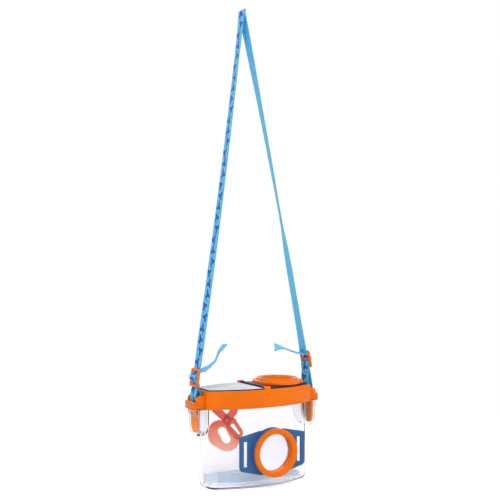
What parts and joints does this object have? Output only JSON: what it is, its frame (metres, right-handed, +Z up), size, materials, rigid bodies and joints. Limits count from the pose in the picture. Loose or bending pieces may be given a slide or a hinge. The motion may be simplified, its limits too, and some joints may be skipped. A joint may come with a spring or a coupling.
{
  "type": "bug catcher jar",
  "caption": "Clear oval container with an orange latched lid, vent net, hinged magnifier flap, front magnifier, tongs, tweezers and a shoulder strap.",
  "frame": {"origin": "centre of the container's underside, on the surface that it stands on", "axes": "+X to the right along the front, +Y to the back, +Z up"},
  "size_m": [0.167, 0.0886, 0.561],
  "materials": {
    "clear_plastic": "clear moulded plastic",
    "orange_plastic": "moulded, slightly glossy",
    "navy_plastic": "moulded, slightly glossy",
    "blue_plastic": "moulded, slightly glossy",
    "net_plastic": "fine moulded net",
    "lens_plastic": "clear, polished",
    "pin_steel": "drawn wire",
    "webbing": "woven polyester webbing, printed on one side",
    "tongs_plastic": "translucent moulded plastic",
    "tweezer_plastic": "translucent moulded plastic"
  },
  "bodies": {
    "container": {"jar": "clear_plastic", "tweezers_root": "tweezer_plastic"},
    "lid": {"rim_band": "orange_plastic", "lid_tray": "navy_plastic", "vent_net": "net_plastic", "hinge_rod": "pin_steel", "strap_pin_left": "orange_plastic", "strap_pin_right": "orange_plastic", "strap_left_leg": "webbing", "strap_left_end": "webbing", "strap_right_leg": "webbing", "strap_right_end": "webbing", "buckle_left": "orange_plastic", "buckle_right": "orange_plastic", "tongs_front_half": "tongs_plastic", "tongs_pin": "tongs_plastic"},
    "left_latch": {"latch_left": "orange_plastic"},
    "right_latch": {"latch_right": "orange_plastic"},
    "magnifier_flap": {"flap": "navy_plastic"},
    "lid_magnifier": {"lid_ring": "orange_plastic", "lid_lens": "lens_plastic", "lid_lens_retainer": "orange_plastic"},
    "front_holder": {"loupe_holder": "blue_plastic"},
    "front_magnifier": {"front_ring": "orange_plastic", "front_lens": "lens_plastic", "front_lens_retainer": "orange_plastic"},
    "tongs_rear": {"tongs_rear_half": "tongs_plastic"},
    "tweezers_front": {"tweezers_front_arm": "tweezer_plastic"},
    "tweezers_rear": {"tweezers_rear_arm": "tweezer_plastic"}
  },
  "joints": [
    {"name": "lid_lift", "type": "slide", "parent": "container", "child": "lid", "axis": [0, 0, 1], "range_m": [0, 0.045]},
    {"name": "left_latch_press", "type": "hinge", "parent": "lid", "child": "left_latch", "pos_m": [-0.076, 0, 0.0915], "axis": [0, -1, 0], "range_deg": [0, 8], "stiffness_Nm_per_rad": 0.02},
    {"name": "right_latch_press", "type": "hinge", "parent": "lid", "child": "right_latch", "pos_m": [0.076, 0, 0.0915], "axis": [0, 1, 0], "range_deg": [0, 8], "stiffness_Nm_per_rad": 0.02},
    {"name": "flap_open", "type": "hinge", "parent": "lid", "child": "magnifier_flap", "pos_m": [0, 0, 0.1143], "axis": [0, -1, 0], "range_deg": [0, 95]},
    {"name": "lid_magnifier_twist", "type": "hinge", "parent": "magnifier_flap", "child": "lid_magnifier", "pos_m": [0.0324, 0, 0.1145], "axis": [0, 0, 1], "range_deg": [0, 35]},
    {"name": "front_holder_pull", "type": "slide", "parent": "container", "child": "front_holder", "axis": [0, -1, 0], "range_m": [0, 0.015]},
    {"name": "front_magnifier_twist", "type": "hinge", "parent": "front_holder", "child": "front_magnifier", "pos_m": [0.0055, -0.0415, 0.041], "axis": [0, -1, 0], "range_deg": [0, 35]},
    {"name": "tongs_squeeze", "type": "hinge", "parent": "lid", "child": "tongs_rear", "pos_m": [-0.0356, -0.0006, 0.0736], "axis": [-0.4802, -0.8771, 0], "range_deg": [-44, 3]},
    {"name": "tweezers_rear_squeeze", "type": "hinge", "parent": "container", "child": "tweezers_rear", "pos_m": [-0.04378, 0.00779, 0.009], "axis": [0, 0, -1], "range_deg": [0, 1.3], "stiffness_Nm_per_rad": 0.02},
    {"name": "tweezers_front_squeeze", "type": "hinge", "parent": "container", "child": "tweezers_front", "pos_m": [-0.04479, 0.00269, 0.009], "axis": [0, 0, 1], "range_deg": [0, 1.3], "stiffness_Nm_per_rad": 0.02}
  ],
  "couplings": [
    {"joint": "tweezers_front_squeeze", "follows": "tweezers_rear_squeeze", "ratio": 1}
  ]
}
